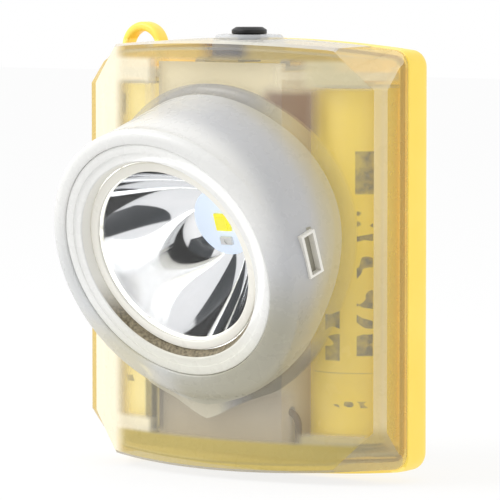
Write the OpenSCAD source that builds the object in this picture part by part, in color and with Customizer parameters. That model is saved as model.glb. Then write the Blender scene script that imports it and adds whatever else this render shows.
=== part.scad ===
// Cordless cap lamp in millimetres: a frosted front shell with a lamp hood that
// looks down, a moulded rear cover with a lanyard lug, two upright cells, a push
// button on top and a sprung blade behind that hooks on a helmet bracket.
// +X is to the right seen from the front, +Y to the rear and +Z up. The origin
// is the middle of the blade's back face.

/* [Body] */
// Width across the body
body_w = 73; // [73:0.5:75]
// Height of the rear cover at its middle
cover_h = 84.4; // [84.4:0.2:88]
// How far the rear cover stands above the front shell, top and bottom
cover_step = 0.6; // [0.4:0.1:0.8]
// Radius of the bowed top and bottom edges
edge_bow_r = 307; // [290:10:400]
// Radius of the four corners seen from the front
corner_r = 3; // [2.8:0.1:3.4]
// Radius of the bowed front face
face_bow_r = 80; // [80:1:90]
// Wall of the front shell and the rear cover
wall_t = 2; // [1.8:0.1:2]
// Wall of the rear cover's back
back_t = 1.5; // [1.3:0.1:1.5]

/* [Lamp] */
// Downward tilt of the lamp's axis in degrees
lamp_tilt = 20.5; // [18:0.5:23]
// Radius of the lens lip's opening
lip_r = 17.7; // [17.5:0.1:17.8]
// Outer radius of the hood's rim
hood_rim_r = 27.8; // [27.4:0.1:28]
// Distance from the lens lip back to the light board
reflector_depth = 16.5; // [16:0.1:17]

/* [Cells] */
// Diameter of a wrapped cell
cell_d = 18.6; // [18.2:0.1:18.6]
// Length of a cell without its raised cap
cell_l = 68; // [65:0.5:68]
// Distance between the two cells' centres
cell_gap = 49.4; // [49.3:0.1:49.4]

/* [Button] */
// Diameter of the button's head
button_d = 6.9; // [6:0.1:7]
// Diameter of the clear ring around the button
guard_d = 13.5; // [13:0.5:14]

/* [Clip] */
// Width of the clip blade
clip_w = 25; // [20:1:28]
// Height of the clip blade
clip_h = 42; // [36:1:44]
// Thickness of the clip's steel
clip_t = 1.2; // [1:0.1:1.2]

/* [Hidden] */

eps = 0.01;
hood_fn = 64;

// Depths along Y, from the front face back to the clip's blade
clip_gap = 4.6;
cover_back_y = -clip_t - clip_gap;
face_y = cover_back_y - 27;
split_y = face_y + 15.8;
cover_side_y = -11;
half_w = body_w / 2;
cover_hh = cover_h / 2;
shell_hh = cover_hh - cover_step;
face_arc_y = face_y + face_bow_r;

// The front face ends in an upright bevel at each side
bevel_x = half_w - 2.2;
bevel_y = face_y + 7.7;
bevel_back_y = face_y + 9.1;

// Three points of the facet that cuts each corner of the front shell
facet_side = [bevel_x, bevel_y, 32.5];
facet_top = [27, face_y + 4.7, shell_hh - 1.8];
facet_back = [half_w, split_y, shell_hh - 1.9];
facet_cross = cross(facet_back - facet_side, facet_top - facet_side);
facet_n = facet_cross / norm(facet_cross);

// Lamp: distances along its axis are measured forward from the lens lip
lamp_y = face_y - 10.3;
lamp_z = 0.6;
rim_w = 2.6;
rim_drop = 0.7;
bezel_r = 24.2;
bezel_in_r = 20.4;
bezel_seat_w = -2.2;
lens_t = 0.9;
lip_t = 0.5;
flange_r = 19.6;
mirror_t = 0.8;
mirror_steps = 14;
board_r = 10;
board_t = 1.2;
focus = 4;
mirror_top_w = -lens_t;
mirror_base_r = 7;
vertex_w = -reflector_depth - mirror_base_r * mirror_base_r / (4 * focus);
sink_r = 12.6;

// Hood: two upright discs inside the body and a keel below
hood_base_y = face_y + 7;
hood_side_r = 30;
hood_top_r = 31.4;
hood_top_z = 2.4;
keel_z = -31;
keel_r = 1.2;
rib_w = 1.9;
rib_h = 3.6;

// Cells
cell_r = cell_d / 2;
cell_x = cell_gap / 2;
cell_y = -16.75;
cell_bottom_z = -35.2;
cell_top_z = cell_bottom_z + cell_l;
cell_cap_h = 1;
cell_fit = 0.12;
contact_t = 0.5;
shelf_z = cell_top_z + cell_cap_h + contact_t;
spring_h = 1.6;
spring_wire_r = 0.35;

// Frame between the cells
frame_hw = 15.1;
frame_front_y = -28.8;
frame_back_y = -8.4;
frame_t = 1.5;
sink_back_y = -16.9;
shelf_t = 1.4;
link_t = 0.4;
shelf_low_z = cell_bottom_z - spring_h - link_t - shelf_t;
frame_floor_z = -33.6;
plate_t = 1.2;
plate_top_z = 37.4;

// Boards
board_y = -11.6;
board_pcb_t = 1.6;
switch_board_z = 31;
switch_body_h = 3.2;

// Button
button_y = face_y + 13.4;
boss_r = 7.3;
boss_z = shell_hh - 0.1;
boss_bottom_z = boss_z - 3.6;
guard_h = 1.2;
guard_in_r = 3.8;
neck_r = 2.2;
neck_fit = 0.08;
head_h = 1.4;
head_z = boss_z + guard_h;
stem_flange_r = 3.1;
stem_bottom_z = 37.35;
plunger_r = 1.7;
plunger_z = stem_bottom_z - 0.75;
seal_r = neck_r + 0.9;
seal_t = 0.9;
seal_z = boss_z - 1.2;
gasket_t = 0.8;
groove_fit = 0.05;

// Fasteners that hold the two halves together
screw_x = 10.5;
screw_z = 37;
screw_r = 1.25;
screw_head_r = 2.3;
screw_head_h = 1.6;
screw_l = 16;
screw_sink_y = -8.6;
screw_boss_r = 3;
screw_boss_y = -25;

// Clip
clip_leg_h = 18;
rivet_x = 7.5;
rivet_z = 12;
rivet_r = 1.5;
rivet_head_r = 2.6;
rivet_head_h = 1;

// Wires
wire_bend_r = 2.5;
light_wire_r = 0.6;
light_wire_x = 3;
light_wire_y = -21;
light_wire_top_z = -5.5;
light_wire_z = -15;
battery_wire_r = 0.7;
battery_wire_x = 16.6;
battery_wire_y = -25.4;
battery_wire_z = -30;
battery_wire_end_x = 12.5;

// Lanyard lug
lug_x = -29.8;
lug_r = 5.13;
lug_hole_r = 3.6;
lug_front_y = -16.4;
lug_t = 3.2;
lug_z = 39.6;
notch_floor_z = 38.1;
notch_back_y = -9.5;

// Charging studs
stud_x = 6;
stud_z = -27;
stud_r = 1.5;

// Outline seen from the front: bowed top and bottom with round corners
module outline(hw, hh, rc) {
    arc_z = edge_bow_r - hh;
    cx = hw - rc;
    cz = sqrt(pow(edge_bow_r - rc, 2) - cx * cx) - arc_z;
    tangent_x = cx * edge_bow_r / (edge_bow_r - rc);
    intersection() {
        translate([0, -arc_z]) circle(r = edge_bow_r, $fn = 360);
        translate([0, arc_z]) circle(r = edge_bow_r, $fn = 360);
        square([2 * tangent_x, 3 * hh], center = true);
    }
    square([2 * hw, 2 * cz], center = true);
    for (sx = [-1, 1], sz = [-1, 1]) {
        translate([sx * cx, sz * cz]) circle(r = rc, $fn = 48);
    }
}

// The outline as a slab between two depths
module slab(y0, y1, inset, hh) {
    translate([0, y1, 0]) rotate([90, 0, 0]) linear_extrude(y1 - y0) {
        outline(half_w - inset, hh - inset, max(corner_r - inset, 0.8));
    }
}

// Cylinder along Y between two depths
module y_rod(x, z, r, y0, y1) {
    translate([x, y1, z]) rotate([90, 0, 0]) cylinder(r = r, h = y1 - y0, $fn = 48);
}

// Quarter turn of wire from +X to +Y about the origin
module quarter_bend(bend_r, r) {
    rotate_extrude(angle = 90, $fn = 48) translate([bend_r, 0]) circle(r = r, $fn = 24);
}

// Children drawn on the lamp's axis, +Z forward out of the lamp
module on_lamp() {
    translate([0, lamp_y, lamp_z]) rotate([90 + lamp_tilt, 0, 0]) children();
}

// Everything beyond one corner facet, moved in by the wall
module beyond_facet(inset) {
    turn = atan2(facet_n[1], facet_n[0]);
    lift = asin(facet_n[2]);
    translate(facet_side) rotate([0, -lift, turn]) translate([-inset, -60, -60]) cube([40, 120, 120]);
}

// The front shell's body without the hood, moved in by a wall
module shell_body(inset, back_y) {
    difference() {
        intersection() {
            slab(face_y - 1, back_y, inset, shell_hh);
            translate([0, 0, -60]) linear_extrude(120) intersection() {
                translate([0, face_arc_y]) circle(r = face_bow_r - inset, $fn = 240);
                offset_plan(inset);
            }
        }
        for (sx = [0, 1], sz = [0, 1]) {
            mirror([sx, 0, 0]) mirror([0, 0, sz]) beyond_facet(inset);
        }
    }
}

// Plan of the shell's bevelled sides, moved in by a wall
module offset_plan(inset) {
    bevel_d = [bevel_back_y - bevel_y, half_w - bevel_x];
    slope = bevel_d[0] / bevel_d[1];
    shift = inset * sqrt(1 + slope * slope);
    side_x = half_w - inset;
    side_y = bevel_back_y - inset * slope + shift;
    polygon([[-side_x, 0], [-side_x, side_y], [0, side_y - side_x * slope], [side_x, side_y], [side_x, 0]]);
}

// Hood that carries the lamp, with its keel, moved in by a wall
module hood(inset, rim_top_w, rim_r) {
    hull() {
        translate([0, hood_base_y + 1, 0]) rotate([90, 0, 0]) {
            cylinder(r = hood_side_r - inset, h = 1, $fn = hood_fn);
        }
        translate([0, hood_base_y + 1, hood_top_z]) rotate([90, 0, 0]) {
            cylinder(r = hood_top_r - inset, h = 1, $fn = hood_fn);
        }
        on_lamp() translate([0, -rim_drop, rim_top_w - 3.4]) cylinder(r = rim_r, h = 1, $fn = hood_fn);
        on_lamp() translate([0, -rim_drop, rim_top_w - 2.4]) {
            cylinder(r1 = rim_r, r2 = rim_r - 1, h = 1.5, $fn = hood_fn);
        }
        on_lamp() translate([0, 0, rim_top_w - 0.9]) {
            cylinder(r1 = rim_r - 1, r2 = rim_r - 2.6, h = 0.9, $fn = hood_fn);
        }
        translate([0, face_y - 0.5, keel_z + inset]) sphere(r = keel_r, $fn = 24);
    }
}

// Bosses for the four screws between two depths
module screw_bosses(y0, y1) {
    for (sx = [-1, 1], sz = [-1, 1]) {
        y_rod(sx * screw_x, sz * screw_z, screw_boss_r, y0, y1);
    }
}

module screw_holes(y0, y1, r) {
    for (sx = [-1, 1], sz = [-1, 1]) {
        y_rod(sx * screw_x, sz * screw_z, r, y0, y1);
    }
}

// Seal between the two halves, open where the button's boss crosses it
module gasket_ring(y0, y1, fit) {
    difference() {
        translate([0, y1, 0]) rotate([90, 0, 0]) linear_extrude(y1 - y0) difference() {
            outline(half_w - 0.7 + fit, shell_hh - 0.7 + fit, corner_r - 0.7 + fit);
            outline(half_w - 1.3 - fit, shell_hh - 1.3 - fit, corner_r - 1.3 - fit);
        }
        translate([0, button_y, boss_bottom_z - 2]) cylinder(r = boss_r - fit, h = 12, $fn = 64);
    }
}

module front_shell() {
    color([0.86, 0.86, 0.84, 0.6]) difference() {
        union() {
            shell_body(0, split_y);
            hood(0, rim_w, hood_rim_r);
            translate([0, button_y, boss_bottom_z]) {
                cylinder(r = boss_r, h = boss_z - boss_bottom_z, $fn = 64);
            }
            translate([-rib_w / 2, face_y - 0.9, keel_z - rib_h]) cube([rib_w, 2.5, rib_h]);
        }
        difference() {
            union() {
                shell_body(wall_t, split_y + 1);
                hood(wall_t + 0.2, bezel_seat_w - 1, bezel_in_r + 0.8);
            }
            screw_bosses(screw_boss_y, split_y + 2);
            translate([0, button_y, boss_bottom_z]) cylinder(r = boss_r, h = 6, $fn = 64);
        }
        on_lamp() translate([0, 0, bezel_seat_w]) cylinder(r = bezel_r, h = 10, $fn = 96);
        on_lamp() translate([0, 0, bezel_seat_w - 3]) cylinder(r = flange_r - 1, h = 10, $fn = 96);
        screw_holes(split_y - screw_l + 6, split_y + 1, screw_r + 0.03);
        translate([0, button_y, boss_z]) cylinder(r = guard_d / 2 + 0.1, h = 10, $fn = 96);
        translate([0, button_y, boss_bottom_z - 1]) cylinder(r = neck_r + neck_fit, h = 12, $fn = 48);
        translate([0, button_y, boss_bottom_z - 1]) cylinder(r = stem_flange_r + 0.3, h = 2.6, $fn = 48);
        gasket_ring(split_y - gasket_t - groove_fit, split_y + 1, groove_fit);
        translate([0, button_y, seal_z - groove_fit]) {
            cylinder(r = seal_r + groove_fit, h = seal_t + 2 * groove_fit, $fn = 48);
        }
        cell_room();
        pocket();
    }
}

// Shallow pocket in the right side of the hood
module pocket() {
    on_lamp() translate([28.9, -1.4, -5.8]) rotate([0, -6, 0]) cube([2, 8.6, 3.8], center = true);
}

// Rear cover's outside, rounded towards its back, moved in by a wall
module cover_body(inset, front_y, back_y) {
    hull() {
        slab(front_y, cover_side_y, inset, cover_hh);
        slab(back_y - 4.2, back_y - 4.1, inset + 0.8, cover_hh);
        slab(back_y - 0.7, back_y - 0.6, inset + 5, cover_hh);
        slab(back_y - 0.1, back_y, inset + 6.4, cover_hh);
    }
}

// Room for the cells in the frame, the shell and the cover
module cell_room() {
    for (sx = [-1, 1]) {
        translate([sx * cell_x, cell_y, cell_bottom_z - cell_fit]) {
            cylinder(r = cell_r + cell_fit, h = cell_l + 2 * cell_fit, $fn = 96);
        }
    }
}

module lug() {
    y0 = lug_front_y;
    y1 = lug_front_y + lug_t;
    difference() {
        union() {
            y_rod(lug_x, lug_z, lug_r, y0, y1);
            translate([lug_x - lug_r, y0, notch_floor_z - 1]) {
                cube([2 * lug_r, lug_t, lug_z - notch_floor_z + 1]);
            }
        }
        y_rod(lug_x, lug_z - 0.3, lug_hole_r, y0 - 1, y1 + 1);
        translate([lug_x - lug_hole_r, y0 - 1, notch_floor_z - 2]) {
            cube([2 * lug_hole_r, lug_t + 2, lug_z - 0.3 - notch_floor_z + 2]);
        }
        translate([lug_x - lug_r - 1, y0 - 1, notch_floor_z - 7]) cube([2 * lug_r + 2, lug_t + 2, 6]);
    }
}

module rear_cover() {
    color([0.97, 0.83, 0.33]) {
        difference() {
            cover_body(0, split_y, cover_back_y);
            difference() {
                cover_body(wall_t, split_y - 1, cover_back_y - back_t);
                screw_bosses(split_y - 2, cover_back_y);
                translate([lug_x - lug_hole_r - 1.2, split_y - 2, notch_floor_z - 1.6]) {
                    cube([2 * lug_hole_r + 2.4, notch_back_y - split_y + 4, 10]);
                }
            }
            translate([lug_x - lug_hole_r, split_y - 1, notch_floor_z]) {
                cube([2 * lug_hole_r, notch_back_y - split_y + 1, 10]);
            }
            translate([0, button_y, boss_bottom_z - 1]) cylinder(r = boss_r + 0.1, h = 12, $fn = 64);
            screw_holes(split_y - 1, 0, screw_r + 0.15);
            screw_holes(screw_sink_y, 0, screw_head_r + 0.15);
            for (sx = [-1, 1]) {
                y_rod(sx * rivet_x, rivet_z, rivet_r, cover_back_y - 4, 0);
                y_rod(sx * stud_x, stud_z, stud_r, cover_back_y - 4, 0);
            }
            cell_room();
        }
        lug();
    }
}

module cover_gasket() {
    color([0.25, 0.25, 0.26]) gasket_ring(split_y - gasket_t, split_y, 0);
}

module cover_screws() {
    tip_y = screw_sink_y - screw_l + 3;
    color([0.75, 0.75, 0.78]) for (sx = [-1, 1], sz = [-1, 1]) {
        difference() {
            union() {
                y_rod(sx * screw_x, sz * screw_z, screw_r, tip_y, screw_sink_y + eps);
                y_rod(sx * screw_x, sz * screw_z, screw_head_r, screw_sink_y, screw_sink_y + screw_head_h);
            }
            translate([sx * screw_x, screw_sink_y + screw_head_h + 1, sz * screw_z]) rotate([90, 0, 0]) {
                cylinder(r = 1, h = 2, $fn = 6);
            }
        }
    }
}

// Side view of the clip: a leg on the cover, a round bend and the blade
module clip_profile() {
    leg_y = cover_back_y;
    bend_r = -leg_y / 2;
    bend_z = clip_h / 2 - bend_r;
    translate([leg_y, bend_z - clip_leg_h]) square([clip_t, clip_leg_h]);
    translate([-clip_t, -clip_h / 2]) square([clip_t, bend_z + clip_h / 2]);
    translate([leg_y / 2, bend_z]) intersection() {
        difference() {
            circle(r = bend_r, $fn = 64);
            circle(r = bend_r - clip_t, $fn = 64);
        }
        translate([-bend_r, 0]) square([2 * bend_r, bend_r]);
    }
}

module helmet_clip() {
    color([0.78, 0.79, 0.8]) difference() {
        translate([-clip_w / 2, 0, 0]) rotate([90, 0, 90]) linear_extrude(clip_w) clip_profile();
        for (sx = [-1, 1]) {
            y_rod(sx * rivet_x, rivet_z, rivet_r, cover_back_y - 1, -clip_t - 1);
        }
        for (sx = [0, 1]) {
            mirror([sx, 0, 0]) translate([clip_w / 2, 1, -clip_h / 2]) rotate([90, 45, 0]) {
                translate([-3, -3, 0]) cube([6, 6, clip_t + 2]);
            }
        }
    }
}

module clip_rivets() {
    color([0.7, 0.7, 0.72]) for (sx = [-1, 1]) {
        y_rod(sx * rivet_x, rivet_z, rivet_r, cover_back_y - back_t - 0.6, cover_back_y + clip_t + eps);
        y_rod(sx * rivet_x, rivet_z, rivet_head_r, cover_back_y + clip_t,
            cover_back_y + clip_t + rivet_head_h);
    }
}

module bezel_ring() {
    color([0.9, 0.89, 0.84, 0.8]) on_lamp() rotate_extrude($fn = 96) {
        polygon([[bezel_r - 0.05, bezel_seat_w], [bezel_r - 0.05, rim_w - 0.2], [bezel_r - 0.35, rim_w],
            [bezel_r - 1.9, rim_w], [bezel_r - 2.1, rim_w - 0.3], [bezel_in_r, rim_w - 0.3],
            [flange_r + 0.1, lip_t], [flange_r + 0.1, bezel_seat_w]]);
    }
}

module lens_window() {
    color([0.85, 0.92, 0.95, 0.35]) on_lamp() translate([0, 0, -lens_t]) {
        cylinder(r = flange_r, h = lens_t, $fn = 96);
    }
}

module lens_lip() {
    color([0.92, 0.9, 0.82]) on_lamp() rotate_extrude($fn = 96) {
        polygon([[lip_r, 0], [lip_r, lip_t - 0.3], [lip_r + 0.3, lip_t], [flange_r - 0.3, lip_t],
            [flange_r, lip_t - 0.3], [flange_r, 0]]);
    }
}

// Radius of the mirror at a distance along the lamp's axis
function mirror_r(w) = sqrt(4 * focus * (w - vertex_w));
function mirror_w(i) = -reflector_depth + (reflector_depth + mirror_top_w) * i / mirror_steps;

module reflector() {
    inside = [for (i = [0 : mirror_steps]) [mirror_r(mirror_w(i)), mirror_w(i)]];
    outside = [for (i = [mirror_steps - 1 : -1 : 0]) [mirror_r(mirror_w(i)) + mirror_t, mirror_w(i)]];
    flange = [[flange_r, mirror_top_w], [flange_r, mirror_top_w - mirror_t],
        [mirror_r(mirror_top_w) + mirror_t, mirror_top_w - mirror_t]];
    color([0.82, 0.84, 0.87]) on_lamp() rotate_extrude($fn = 96) polygon(concat(inside, flange, outside));
}

module light_board() {
    color([0.78, 0.87, 0.96]) on_lamp() translate([0, 0, -reflector_depth - board_t]) {
        cylinder(r = board_r, h = board_t, $fn = 64);
    }
}

module main_led() {
    color([0.95, 0.9, 0.2]) on_lamp() translate([0, 0, -reflector_depth]) {
        translate([-1.75, -1.75, 0]) cube([3.5, 3.5, 0.5]);
        translate([-1.2, -1.2, 0.5 - eps]) cube([2.4, 2.4, 0.3]);
    }
}

module pilot_led() {
    color([0.95, 0.95, 0.93]) on_lamp() translate([0, -3.9, -reflector_depth]) {
        difference() {
            translate([-1.4, -0.8, 0]) cube([2.8, 1.6, 0.6]);
            translate([0, 0, 0.3]) cylinder(r = 0.5, h = 1, $fn = 24);
        }
    }
}

module heat_sink() {
    top_w = -reflector_depth - board_t;
    color([0.7, 0.72, 0.74]) difference() {
        on_lamp() {
            translate([0, 0, top_w - 2.5]) cylinder(r = sink_r, h = 2.5, $fn = 64);
            translate([0, 0, top_w - 16]) cylinder(r = 7.5, h = 15, $fn = 64);
        }
        translate([-20, sink_back_y, -30]) cube([40, 30, 80]);
    }
}

module inner_frame() {
    depth = frame_back_y - frame_front_y;
    color([0.9, 0.87, 0.76]) difference() {
        union() {
            intersection() {
                union() {
                    for (sx = [0, 1]) {
                        mirror([sx, 0, 0]) {
                            translate([frame_hw - frame_t, frame_front_y, shelf_low_z]) {
                                cube([frame_t, depth, shelf_z + shelf_t - shelf_low_z]);
                            }
                            for (z = [shelf_z, shelf_low_z]) {
                                translate([frame_hw - eps, frame_front_y, z]) cube([20, depth, shelf_t]);
                            }
                        }
                    }
                }
                union() {
                    shell_body(wall_t + 0.2, split_y + 0.5);
                    cover_body(wall_t + 0.2, split_y + 0.4, cover_back_y - back_t - 0.2);
                }
            }
            for (z = [switch_board_z - frame_t, frame_floor_z]) {
                translate([-frame_hw + eps, frame_front_y + 1, z]) {
                    cube([2 * frame_hw - 2 * eps, depth - 1, frame_t]);
                }
            }
            translate([-frame_hw + eps, sink_back_y, -8]) cube([2 * frame_hw - 2 * eps, frame_t, 34]);
            translate([-frame_hw, frame_front_y, shelf_low_z]) {
                cube([2 * frame_hw, plate_t, plate_top_z - shelf_low_z]);
            }
        }
        hood_room();
        lug_room();
        for (sx = [-1, 1]) {
            translate([sx * battery_wire_x, battery_wire_y, battery_wire_z]) rotate([0, -sx * 90, 0]) {
                cylinder(r = battery_wire_r + 0.4, h = 6, $fn = 24);
            }
        }
    }
}

// Room that the reflector and the light board need inside the frame
module hood_room() {
    on_lamp() translate([0, 0, -reflector_depth - board_t - 2.8]) {
        cylinder(r1 = sink_r + 0.3, r2 = 24, h = 30, $fn = 64);
    }
}

// Room under the lanyard notch
module lug_room() {
    translate([lug_x - 6, split_y - 1, notch_floor_z - 1.9]) cube([12, 12, 6]);
}

module cell(x) {
    translate([x, cell_y, cell_bottom_z]) {
        cylinder(r = cell_r, h = cell_l, $fn = 96);
        translate([0, 0, cell_l - eps]) cylinder(r = 3.2, h = cell_cap_h, $fn = 48);
    }
}

module left_cell() {
    color([0.95, 0.87, 0.45]) cell(-cell_x);
}

module right_cell() {
    color([0.95, 0.87, 0.45]) cell(cell_x);
}

module cell_insulators() {
    color([0.95, 0.95, 0.92]) for (sx = [-1, 1]) {
        translate([sx * cell_x, cell_y, cell_top_z]) difference() {
            cylinder(r = cell_r - 0.6, h = 0.3, $fn = 64);
            translate([0, 0, -1]) cylinder(r = 3.5, h = 3, $fn = 48);
        }
    }
}

module cell_springs() {
    pitch = (spring_h - 2 * spring_wire_r) / 2;
    color([0.8, 0.8, 0.82]) for (sx = [-1, 1], i = [0 : 2]) {
        translate([sx * cell_x, cell_y, cell_bottom_z - spring_h + spring_wire_r + i * pitch]) {
            rotate_extrude($fn = 48) translate([5 - i, 0]) circle(r = spring_wire_r, $fn = 16);
        }
    }
}

module cell_contacts() {
    color([0.85, 0.78, 0.5]) for (sx = [-1, 1]) {
        translate([sx * cell_x - 4, cell_y - 4, shelf_z - contact_t]) cube([8, 8, contact_t]);
    }
}

module cell_links() {
    link_z = cell_bottom_z - spring_h - link_t;
    color([0.8, 0.8, 0.82]) for (sx = [0, 1]) {
        mirror([sx, 0, 0]) {
            translate([cell_x - 5.5, cell_y - 5.5, link_z]) cube([11, 11, link_t]);
            translate([frame_hw + 0.2, battery_wire_y - 1.2, link_z]) {
                cube([cell_x - frame_hw - 0.2, 6, link_t]);
            }
        }
    }
}

module control_board() {
    color([0.1, 0.42, 0.22]) translate([-13, board_y, -32]) cube([26, board_pcb_t, 58]);
}

module board_parts() {
    y = board_y;
    color([0.18, 0.18, 0.2]) {
        for (z = [-26, -20.5, 20]) {
            translate([-8, y - 1.5, z]) cube([5, 1.5, 4]);
        }
        for (x = [1, 5, 9], z = [-28, -22]) {
            translate([x, y - 0.9, z]) cube([2, 0.9, 3.2]);
        }
        y_rod(7, -13.5, 2.6, y - 3, y);
    }
}

module switch_board() {
    color([0.12, 0.45, 0.25]) translate([-11, -27, switch_board_z]) cube([22, 15, board_pcb_t]);
}

module switch_body() {
    z = switch_board_z + board_pcb_t;
    color([0.15, 0.15, 0.16]) difference() {
        translate([-3, button_y - 3, z]) cube([6, 6, switch_body_h]);
        translate([0, button_y, z + 1.5]) cylinder(r = plunger_r + neck_fit, h = 5, $fn = 32);
    }
}

module switch_plunger() {
    bottom_z = switch_board_z + board_pcb_t + 1.9;
    color([0.9, 0.9, 0.88]) translate([0, button_y, bottom_z]) {
        cylinder(r = plunger_r, h = plunger_z - bottom_z, $fn = 32);
    }
}

module button_cap() {
    color([0.06, 0.06, 0.07]) translate([0, button_y, head_z]) {
        cylinder(r = button_d / 2, h = head_h - 0.6, $fn = 64);
        translate([0, 0, head_h - 0.6]) {
            cylinder(r1 = button_d / 2, r2 = button_d / 2 - 0.9, h = 0.6, $fn = 64);
        }
    }
}

module button_stem() {
    color([0.12, 0.12, 0.13]) translate([0, button_y, 0]) {
        translate([0, 0, stem_bottom_z]) cylinder(r = neck_r, h = head_z - stem_bottom_z, $fn = 48);
        translate([0, 0, boss_bottom_z + 0.4]) cylinder(r = stem_flange_r, h = 1.1, $fn = 48);
    }
}

module stem_seal() {
    color([0.2, 0.2, 0.2]) translate([0, button_y, seal_z]) difference() {
        cylinder(r = seal_r, h = seal_t, $fn = 48);
        translate([0, 0, -1]) cylinder(r = neck_r + neck_fit, h = 3, $fn = 48);
    }
}

module button_guard() {
    r = guard_d / 2;
    color([0.88, 0.9, 0.92, 0.5]) translate([0, button_y, boss_z]) rotate_extrude($fn = 96) {
        polygon([[guard_in_r, 0], [r, 0], [r, 0.4], [r - 0.8, guard_h], [guard_in_r, guard_h]]);
    }
}

module charge_studs() {
    color([0.85, 0.72, 0.4]) for (sx = [-1, 1]) {
        y_rod(sx * stud_x, stud_z, stud_r, cover_back_y - back_t - 0.8, cover_back_y + 0.4);
    }
}

// Two leads that drop from the heat sink and turn back to the control board
module light_wires() {
    turn_z = light_wire_z + wire_bend_r;
    color([0.8, 0.15, 0.12]) for (sx = [-1, 1]) {
        translate([sx * light_wire_x, 0, 0]) {
            translate([0, light_wire_y, turn_z]) {
                cylinder(r = light_wire_r, h = light_wire_top_z - turn_z, $fn = 24);
            }
            translate([0, light_wire_y + wire_bend_r, turn_z]) rotate([0, 90, 0]) rotate([0, 0, -90]) {
                quarter_bend(wire_bend_r, light_wire_r);
            }
            y_rod(0, light_wire_z, light_wire_r, light_wire_y + wire_bend_r, board_y);
        }
    }
}

// Two leads that rise from the cell links and pass through the frame's sides
module battery_wires() {
    turn_z = battery_wire_z - wire_bend_r;
    link_top_z = cell_bottom_z - spring_h;
    color([0.1, 0.1, 0.12]) for (sx = [0, 1]) {
        mirror([sx, 0, 0]) {
            translate([battery_wire_x, battery_wire_y, link_top_z]) {
                cylinder(r = battery_wire_r, h = turn_z - link_top_z, $fn = 24);
            }
            translate([battery_wire_x - wire_bend_r, battery_wire_y, turn_z]) rotate([90, 0, 0]) {
                quarter_bend(wire_bend_r, battery_wire_r);
            }
            translate([battery_wire_end_x, battery_wire_y, battery_wire_z]) rotate([0, 90, 0]) {
                cylinder(r = battery_wire_r, h = battery_wire_x - wire_bend_r - battery_wire_end_x, $fn = 24);
            }
            translate([battery_wire_end_x, battery_wire_y + wire_bend_r, battery_wire_z]) rotate([0, 0, 180]) {
                quarter_bend(wire_bend_r, battery_wire_r);
            }
            y_rod(battery_wire_end_x - wire_bend_r, battery_wire_z, battery_wire_r,
                battery_wire_y + wire_bend_r, board_y);
        }
    }
}

front_shell();
rear_cover();
cover_gasket();
cover_screws();
helmet_clip();
clip_rivets();
bezel_ring();
lens_window();
lens_lip();
reflector();
light_board();
main_led();
pilot_led();
heat_sink();
inner_frame();
left_cell();
right_cell();
cell_insulators();
cell_springs();
cell_contacts();
cell_links();
control_board();
board_parts();
switch_board();
switch_body();
switch_plunger();
button_cap();
button_stem();
stem_seal();
button_guard();
charge_studs();
light_wires();
battery_wires();
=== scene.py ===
"""Looks for a cordless cap lamp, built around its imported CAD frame. Metres, +X right, +Y rear, +Z up."""
import math

import bmesh
import bpy
from mathutils import Matrix, Vector


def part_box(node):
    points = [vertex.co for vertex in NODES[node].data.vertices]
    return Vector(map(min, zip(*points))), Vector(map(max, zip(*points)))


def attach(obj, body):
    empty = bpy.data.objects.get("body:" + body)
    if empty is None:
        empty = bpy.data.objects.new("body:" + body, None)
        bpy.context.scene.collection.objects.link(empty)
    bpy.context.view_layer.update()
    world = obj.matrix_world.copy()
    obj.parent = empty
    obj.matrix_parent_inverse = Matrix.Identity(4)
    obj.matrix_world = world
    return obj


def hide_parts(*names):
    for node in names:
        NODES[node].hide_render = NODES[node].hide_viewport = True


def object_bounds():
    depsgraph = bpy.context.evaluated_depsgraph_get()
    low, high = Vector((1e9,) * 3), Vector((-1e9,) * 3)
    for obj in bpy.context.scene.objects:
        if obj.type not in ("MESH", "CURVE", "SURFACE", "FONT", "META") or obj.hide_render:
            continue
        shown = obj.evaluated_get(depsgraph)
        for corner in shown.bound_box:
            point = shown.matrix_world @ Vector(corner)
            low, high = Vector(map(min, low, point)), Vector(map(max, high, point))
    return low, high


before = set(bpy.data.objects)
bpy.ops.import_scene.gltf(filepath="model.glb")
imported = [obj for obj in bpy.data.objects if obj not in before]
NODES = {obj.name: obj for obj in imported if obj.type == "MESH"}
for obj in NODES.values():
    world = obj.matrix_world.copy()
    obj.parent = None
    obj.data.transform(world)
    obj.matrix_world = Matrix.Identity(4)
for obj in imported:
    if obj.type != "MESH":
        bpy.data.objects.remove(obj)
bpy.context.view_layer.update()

MM = 0.001

# ---------------------------------------------------------------- sizes, in millimetres
SHELL_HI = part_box("front_shell")[1] / MM
COVER_LO, COVER_HI = [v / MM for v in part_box("rear_cover")]

# Body: half width, half heights (HH), where shell and cover meet, and the bows of its edges and face
HALF_W = SHELL_HI.x
SHELL_HH = SHELL_HI.z
SPLIT_Y = COVER_LO.y
COVER_BACK_Y = COVER_HI.y
COVER_HH = -COVER_LO.z
FACE_Y = SPLIT_Y - 15.8
CORNER_R = 3.0
BOW_R = 307.0
FACE_BOW_R = 80.0
WALL = 1.9
COVER_WALL = 2.0

# Lamp: its tilt and middle, then radii and heights in its own frame, whose zero is the lens's front
TILT = math.radians(20.5)
LAMP = Vector((0, FACE_Y - 10.3, 0.6))
LIP_R = 17.7
LENS_R = 19.6
BEZEL_R = 24.2
BEZEL_IN_R = 20.4
RIM_W = 2.6
HOOD_R = 28.5
RIM_DROP = 1.9
MIRROR_DEPTH = 16.5
LENS_T = 0.9
FOCUS = 4.12
BOARD_SEEN_R = 6.9

# The pocket in the hood: its middle in the lamp's frame, its half length and half height,
# and how far its edge stands up
POCKET = Vector((28.9, -0.6, -5.5))
POCKET_HALF = (4.3, 1.9)
POCKET_EDGE = 0.45

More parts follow.
